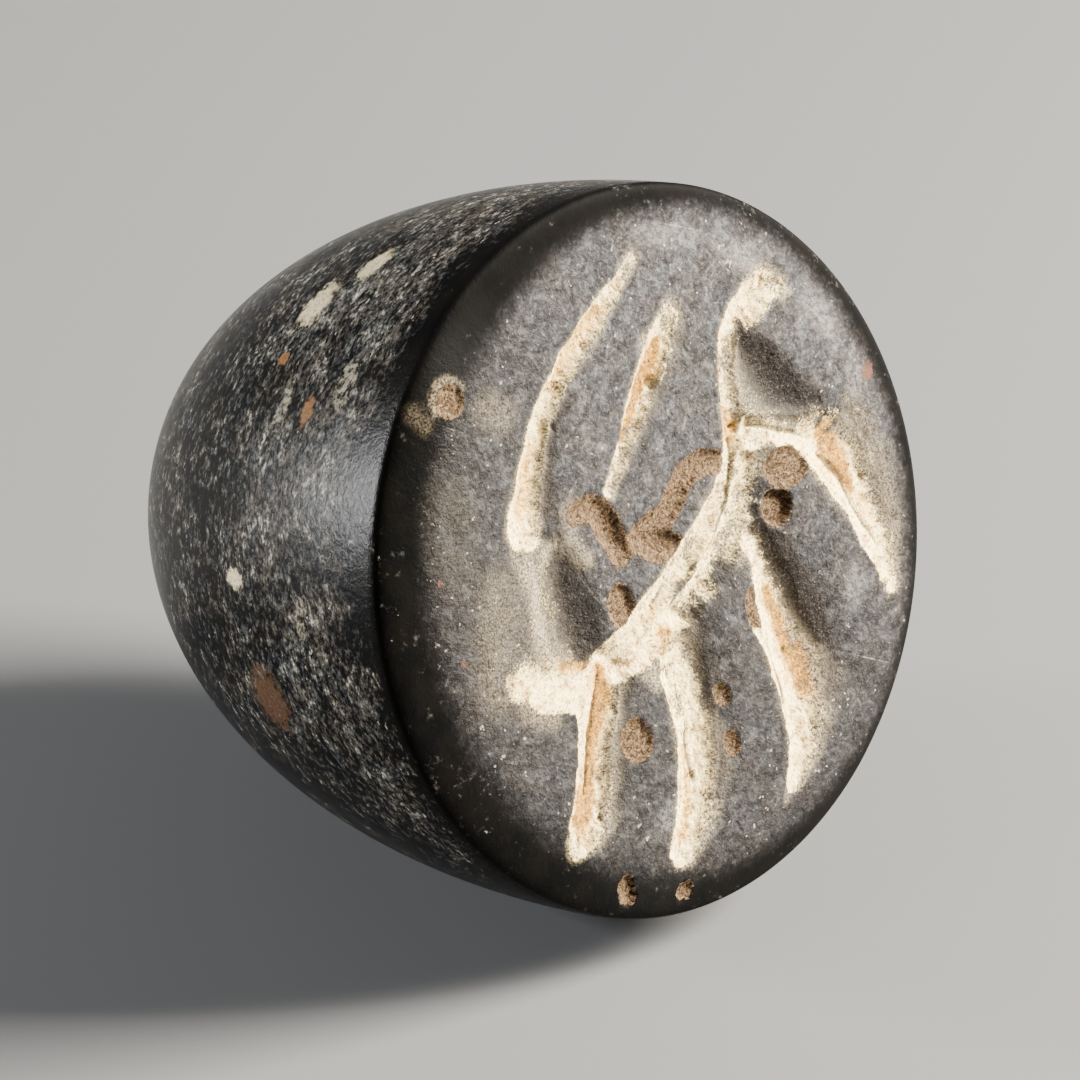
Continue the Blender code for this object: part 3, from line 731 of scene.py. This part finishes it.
class Graph:
    """A material's node tree, built by short calls. Its patterns lie at `where`."""

    def __init__(self, name):
        self.material = bpy.data.materials.new(name)
        self.material.use_nodes = True
        self.tree = self.material.node_tree
        self.shader = self.tree.nodes["Principled BSDF"]
        self.where = None

    def node(self, kind, inputs=(), **settings):
        made = self.tree.nodes.new(kind)
        for key, value in settings.items():
            setattr(made, key, value)
        for key, value in dict(inputs).items():
            self.put(made.inputs[key], value)
        return made

    def put(self, socket, value):
        """Link a socket to another's output, or give it a constant value."""
        if isinstance(value, bpy.types.NodeSocket):
            self.tree.links.new(value, socket)
        else:
            socket.default_value = value

    def mask(self, name):
        """A mask that make_stone stored with the mesh."""
        return self.node("ShaderNodeAttribute", attribute_name=name).outputs["Fac"]

    def noise(self, scale, detail=3.0, roughness=0.6, distortion=0.0, where=None):
        return self.node("ShaderNodeTexNoise", {
            "Vector": where or self.where, "Scale": scale, "Detail": detail,
            "Roughness": roughness, "Distortion": distortion}).outputs["Fac"]

    def range(self, value, low, high, bottom=0.0, top=1.0):
        """Smooth change from bottom to top as a value passes from low to high."""
        return self.node("ShaderNodeMapRange", {
            "Value": value, "From Min": low, "From Max": high, "To Min": bottom, "To Max": top},
            interpolation_type="SMOOTHSTEP").outputs["Result"]

    def math(self, operation, first, second):
        return self.node("ShaderNodeMath", {0: first, 1: second}, operation=operation).outputs[0]

    def product(self, *factors):
        result = factors[0]
        for factor in factors[1:]:
            result = self.math("MULTIPLY", result, factor)
        return result

    def less(self, value, other, share):
        """A value less this share of another."""
        return self.math("SUBTRACT", value, self.product(other, share))

    def mix(self, share, first, second):
        """Mix of two colours."""
        return self.node("ShaderNodeMix", {0: share, 6: first, 7: second},
                         data_type="RGBA").outputs[2]

    def layer(self, under, value, low, high, share, name):
        """A colour over another, up to this share, as a value passes from low to high."""
        return self.mix(self.range(value, low, high, 0.0, share), under, colour(name))

    def paint(self, under, mask, share, name):
        """A colour over another, by this share of a mask."""
        return self.mix(self.product(mask, share), under, colour(name))

    def blend(self, share, first, second):
        """Mix of two numbers."""
        return self.node("ShaderNodeMix", {0: share, 2: first, 3: second},
                         data_type="FLOAT").outputs[0]

    def away(self, middle, turn, half_sizes):
        """Distance from the middle of a turned oval, in half sizes."""
        local = self.node("ShaderNodeMapping", {
            "Vector": self.where, "Location": middle, "Rotation": turn, "Scale": half_sizes},
            vector_type="TEXTURE").outputs[0]
        return self.node("ShaderNodeVectorMath", {0: local}, operation="LENGTH").outputs["Value"]

    def ragged(self, mask, grain, spread, low, high):
        """A soft mask broken up into grains, and nothing where the mask is nothing."""
        shift = self.product(self.range(grain, 0.25, 0.75, -spread, spread),
                             self.range(mask, 0.0, 0.3))
        return self.range(self.math("ADD", mask, shift), low, high)


def dome_spot(graph, grain, angle, behind, around, along, turn):
    """Mask of one oval spot on the dome, with a ragged edge."""
    dome = seal_profile(PROFILE_SAMPLES)[1]
    radius = np.interp(behind, -dome[:, 1], dome[:, 0])
    theta = math.radians(angle)
    centre = (FACE_ASPECT * radius * math.cos(theta), radius * math.sin(theta), -behind)
    facing_out = Euler((math.radians(90.0), math.radians(turn), theta + math.radians(90.0)), "XYZ")
    away = graph.away(centre, facing_out, (around, along, 1.5))
    ragged = graph.math("ADD", away, graph.range(grain, 0.25, 0.75, -0.35, 0.35))
    return graph.range(ragged, 1.15, 0.65)


def dome_colour(graph):
    """Black stone peppered with grey and pale flecks."""
    around = graph.node("ShaderNodeMapping", {
        "Vector": graph.where, "Scale": (1.0, 1.0, 1.4)}).outputs[0]
    crowd = graph.noise(0.5, 3.0, 0.6)
    streaks = graph.noise(2.0, 4.0, 0.65, where=around)
    grains = graph.noise(4.2, 4.0, 0.65, where=around)
    fine = graph.noise(9.0, 2.0, 0.6, where=around)
    crowd = graph.range(crowd, 0.3, 0.7, -0.04, 0.036)
    # Painted light and shade: the fleck mask adds flecks on top and takes them away beneath.
    bare_and_shaded = graph.math("SUBTRACT", 1.0, graph.mask("fleck_and_light"))
    tint = graph.noise(0.9, 3.0)
    black = graph.layer(colour("black"), tint, 0.35, 0.65, 1.0, "warm black")
    middle = graph.layer(colour("grey"), tint, 0.4, 0.6, 1.0, "warm grey")
    pale = graph.layer(colour("dull fleck"), graph.noise(1.6, 4.0), 0.35, 0.65, 1.0,
                       "pale fleck")
    level = graph.math("ADD", crowd, graph.math(
        "ADD", graph.product(streaks, 0.45), graph.product(grains, 0.55)))
    clumps = graph.math("ADD", graph.noise(3.0, 4.0, 0.7, where=around), crowd)
    stone = graph.mix(graph.range(graph.less(level, bare_and_shaded, 0.16), 0.43, 0.58), black, middle)
    stone = graph.mix(graph.range(graph.less(level, bare_and_shaded, 0.13), 0.53, 0.74), stone, pale)
    stone = graph.mix(graph.range(graph.less(clumps, bare_and_shaded, 0.09), 0.6, 0.72, 0.0, 0.7), stone, pale)
    stone = graph.mix(graph.range(fine, 0.54, 0.39, 0.0, 0.75), stone, black)
    return stone


def spotted(graph, stone):
    """The stone with its larger spots and chips over it."""
    grain = graph.noise(4.0, 4.0, 0.7)
    fine = graph.noise(13.0, 3.0, 0.7)
    strength = graph.range(fine, 0.35, 0.55, 0.35, 1.0)
    broken = graph.range(graph.noise(4.5, 4.0, 0.7), 0.42, 0.62)
    for angle, behind, long, wide, turn, kind in DOME_SPOTS:
        mask = dome_spot(graph, grain, angle, behind, long, wide, turn)
        stone = graph.paint(stone, mask, broken if kind == "hazy" else strength, kind)
    for right, up, width, height in CHIPS:
        away = graph.math("ADD", face_oval(graph, (right, up), (0.5 * width, 0.5 * height)),
                          graph.range(grain, 0.25, 0.75, -0.5, 0.5))
        stone = graph.paint(stone, graph.range(away, 1.1, 0.8), strength, "chip")
    return stone


def face_oval(graph, middle, half_size, turn=0.0):
    """Distance from a spot on the face, in half sizes."""
    return graph.away(middle + (0.0,), (0.0, 0.0, turn), half_size + (2.0,))


def face_colour(graph):
    """The worn face: grey, partly painted sheen, mottled cool and warm, with light and dark grains
    and painted shade.
    """
    split = graph.node("ShaderNodeSeparateXYZ", {"Vector": graph.where})
    right, height = split.outputs["X"], split.outputs["Y"]
    corner = graph.less(graph.product(height, 0.5), right, 0.87)
    patches = graph.noise(0.6, 3.0, 0.6)
    mottle = graph.noise(2.4, 5.0, 0.7, 0.6)
    grain = graph.noise(8.0, 2.0, 0.5)
    grey = graph.layer(colour("cool face"), patches, 0.38, 0.62, 1.0, "warm face")
    grey = graph.layer(grey, mottle, 0.48, 0.62, 0.85, "dark mottle")
    grey = graph.layer(grey, mottle, 0.48, 0.34, 0.85, "light mottle")
    grey = graph.layer(grey, grain, 0.54, 0.7, 0.45, "light grain")
    grey = graph.layer(grey, grain, 0.46, 0.3, 0.45, "dark grain")
    # Painted shade: darker towards the bottom, the upper left and the left, away from the light and
    # its sheen.
    grey = graph.layer(grey, height, 6.0, -9.0, 0.5, "shade")
    grey = graph.layer(grey, corner, 3.0, 10.0, 0.6, "shade")
    grey = graph.layer(grey, right, -4.0, -8.5, 0.22, "shade")
    specks = graph.range(graph.noise(4.6, 2.0, 0.5), 0.69, 0.73)
    grey = graph.paint(grey, specks, 0.8, "speck")
    hatch = graph.noise(5.0, 4.0, 0.7, 0.3)
    for across, up, length, width, turn in PALE_PATCHES:
        away = face_oval(graph, (across, up), (0.5 * length, 0.5 * width), math.radians(turn))
        mask = graph.product(graph.range(away, 1.5, 0.3), graph.range(hatch, 0.4, 0.62, 0.15, 0.9))
        grey = graph.paint(grey, mask, 0.5, "pale patch")
    for start, end in SCRATCHES:
        run = (end[0] - start[0], end[1] - start[1])
        middle = (0.5 * (start[0] + end[0]), 0.5 * (start[1] + end[1]))
        away = face_oval(graph, middle, (0.5 * math.hypot(*run), 0.5 * SCRATCH_WIDTH),
                         math.atan2(run[1], run[0]))
        grey = graph.paint(grey, graph.range(away, 1.0, 0.2),
                           graph.range(grain, 0.35, 0.6, 0.1, 0.6), "scratch")
    return grey


def stone_material():
    """Worn face with painted sheen, flecked dome, dust, dirt and filling, and painted shade, one
    over another by their masks.
    """
    graph = Graph("dark_stone")
    graph.where = graph.node("ShaderNodeAttribute", attribute_name="stone_mm").outputs["Vector"]
    crumb = graph.noise(7.0, 4.0, 0.75)
    grain = graph.noise(15.0, 2.0, 0.6)
    cloud = graph.noise(2.4, 4.0, 0.6)

    # The face's grey, partly worn stone and partly painted sheen, over the flecked dome.
    worn_and_sheen = graph.ragged(graph.mask("worn_and_sheen"), graph.noise(3.0, 4.0, 0.7), 0.12, 0.0, 1.0)
    base = graph.mix(worn_and_sheen, dome_colour(graph), face_colour(graph))
    base = spotted(graph, base)

    # Dust lies thinly, between the grains of the face.
    powder = graph.noise(12.0, 4.0, 0.75)
    turned = graph.mask("turned")
    drift = graph.range(graph.noise(1.3, 4.0, 0.65), 0.38, 0.6, 0.7, 1.1)
    dust = graph.product(graph.mask("dust"), graph.range(powder, 0.4, 0.62, 0.08, 1.4), drift)
    base = graph.paint(base, dust, 0.8, "dust")

    # Bare walls with painted shade: dark stone with pale grains, fading in between the grains of
    # dirt.
    bare_and_shaded = graph.ragged(graph.mask("bare_and_shaded"), powder, 0.4, 0.0, 0.85)
    shaded_wall = graph.layer(colour("shaded_wall"), powder, 0.5, 0.7, 0.5, "wall grain")
    base = graph.mix(graph.product(bare_and_shaded, 0.95), base, shaded_wall)

    # Pale dirt in the cuts, with painted shade on the walls that turn from the light, stained ochre
    # in places and peppered with dark grains.
    gaps = graph.range(graph.noise(1.2, 5.0, 0.7), 0.46, 0.64, 0.0, 0.45)
    cover = graph.math("SUBTRACT", graph.less(graph.mask("cream"), turned, 0.25), gaps)
    cream = graph.ragged(cover, powder, 0.4, 0.15, 0.65)
    dirt = graph.layer(colour("cream"), cloud, 0.46, 0.66, 1.0, "tan")
    dirt = graph.layer(dirt, crumb, 0.5, 0.66, 0.6, "brown crumb")
    dirt = graph.layer(dirt, crumb, 0.44, 0.3, 0.6, "white crumb")
    dirt = graph.paint(dirt, turned, 0.75, "shaded dirt")
    stain = graph.ragged(graph.mask("stain"), graph.noise(4.5, 4.0, 0.7), 0.4, 0.08, 1.05)
    ochre = graph.layer(colour("ochre"), crumb, 0.4, 0.6, 1.0, "dark ochre")
    ochre = graph.layer(ochre, graph.noise(3.4, 4.0, 0.7), 0.46, 0.6, 0.75, "ochre mottle")
    ochre = graph.layer(ochre, powder, 0.54, 0.66, 0.85, "ochre grain")
    dirt = graph.layer(dirt, graph.mask("stain"), 0.0, 0.5, 0.6, "tinge")
    dirt = graph.mix(graph.product(stain, 0.92), dirt, ochre)
    pepper = graph.range(graph.noise(9.5, 4.0, 0.7), 0.53, 0.64)
    dirt = graph.paint(dirt, pepper, 0.85, "pepper")
    base = graph.mix(cream, base, dirt)

    # Brown filling in the curls and pits, and the dark creases over everything.
    filling = graph.layer(colour("filling"), crumb, 0.4, 0.6, 1.0, "light filling")
    filling = graph.layer(filling, powder, 0.5, 0.66, 0.7, "filling grain")
    brown = graph.ragged(graph.mask("brown"), crumb, 0.45, 0.35, 0.7)
    base = graph.mix(brown, base, filling)
    line = graph.range(graph.mask("line"), 0.2, 0.9)
    base = graph.paint(base, line, 0.8, "crease")
    graph.put(graph.shader.inputs["Base Color"], base)
    graph.put(graph.shader.inputs["Specular IOR Level"], STONE_SPECULAR)

    dull = graph.math("MAXIMUM", cream, brown)
    rim_or_dome = graph.blend(graph.mask("polish"), ROUGHNESS["rim"], ROUGHNESS["dome"])
    polish = graph.blend(worn_and_sheen, rim_or_dome, ROUGHNESS["face"])
    graph.put(graph.shader.inputs["Roughness"], graph.blend(dull, polish, ROUGHNESS["dirt"]))

    coarse = graph.product(crumb, graph.blend(dull, graph.blend(worn_and_sheen, 0.12, 0.35), 1.15))
    fine = graph.product(grain, graph.blend(worn_and_sheen, 0.05, 0.25))
    leather = graph.product(graph.noise(4.2, 3.0, 0.6, 0.4), graph.blend(worn_and_sheen, 0.2, 0.7))
    height = graph.math("ADD", graph.math("ADD", coarse, fine), leather)
    bump = graph.node("ShaderNodeBump", {
        "Height": height, "Distance": BUMP_HEIGHT * MM, "Strength": 1.0})
    graph.put(graph.shader.inputs["Normal"], bump.outputs["Normal"])
    return graph.material


def floor_material():
    graph = Graph("pale_floor")
    graph.put(graph.shader.inputs["Base Color"], FLOOR_COLOUR)
    graph.put(graph.shader.inputs["Roughness"], 0.8)
    return graph.material


# ------------------------------------------------ the setting

VIEW_AZIMUTH = -42.6        # degrees
VIEW_ELEVATION = 29.0
VIEW_DISTANCE = 286.0       # mm from the middle of the face
VIEW_LENS = 322.8           # mm
VIEW_SENSOR = 36.0          # mm
VIEW_CLIP = 0.01            # metres
VIEW_AIM = (-3.68, 0.38)    # mm from the middle of the face to the picture's centre
FLOOR_HALF = 3.0            # metres
STUDIO_COLOUR = (1.0, 0.98, 0.95, 1.0)
STUDIO_STRENGTH = 0.22


def view_axes():
    """The camera's right, up and back directions."""
    a, e = math.radians(VIEW_AZIMUTH), math.radians(VIEW_ELEVATION)
    right = Vector((math.cos(a), math.sin(a), 0.0))
    back = Vector((math.sin(a) * math.cos(e), -math.cos(a) * math.cos(e), math.sin(e)))
    return right, back.cross(right), back


def facing(direction):
    """Turn that points a camera's or a light's back in this direction."""
    return direction.to_track_quat("Z", "Y")


def add_camera(middle):
    """The photo's viewing direction on the middle of the face."""
    right, up, back = view_axes()
    data = bpy.data.cameras.new("camera")
    data.lens = VIEW_LENS
    data.sensor_width = VIEW_SENSOR
    data.clip_start = VIEW_CLIP
    camera = added("camera", data)
    camera.location = middle + back * VIEW_DISTANCE * MM
    aim = middle + (right * VIEW_AIM[0] + up * VIEW_AIM[1]) * MM
    camera.rotation_mode = "QUATERNION"
    camera.rotation_quaternion = facing(camera.location - aim)
    bpy.context.scene.camera = camera


def add_light(name, middle, toward, distance, size, power, tint=(1.0, 1.0, 1.0)):
    """An area light in this direction from the seal, in the camera's right, up and back axes,
    with its distance and size in mm and its power in watts."""
    right, up, back = view_axes()
    direction = (right * toward[0] + up * toward[1] + back * toward[2]).normalized()
    data = bpy.data.lights.new(name, "AREA")
    data.shape = "RECTANGLE"
    data.size, data.size_y = size[0] * MM, size[1] * MM
    data.energy = power
    data.color = tint
    light = added(name, data)
    light.location = middle + direction * distance * MM
    light.rotation_mode = "QUATERNION"
    light.rotation_quaternion = facing(direction)


def add_floor():
    mesh = bpy.data.meshes.new("floor")
    corners = [(x * FLOOR_HALF, y * FLOOR_HALF, 0)
               for x, y in ((-1, -1), (1, -1), (1, 1), (-1, 1))]
    mesh.from_pydata(corners, [], [(0, 1, 2, 3)])
    mesh.materials.append(floor_material())
    floor = added("floor", mesh)


def add_world():
    world = bpy.data.worlds.new("studio")
    world.use_nodes = True
    background = world.node_tree.nodes["Background"]
    background.inputs["Color"].default_value = STUDIO_COLOUR
    background.inputs["Strength"].default_value = STUDIO_STRENGTH
    bpy.context.scene.world = world


stone = make_stone(stone_material())
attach(stone, "root")
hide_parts("seal")

face_middle = resting_place().translation
add_camera(face_middle)
add_light("key", face_middle, toward=(0.86, 0.5, 0.12), distance=220.0, size=(95.0, 95.0),
          power=7.3, tint=(1.0, 0.93, 0.82))
add_light("left", face_middle, toward=(-0.98, 0.18, -0.06), distance=260.0, size=(28.0, 85.0),
          power=2.6)
add_floor()
add_world()
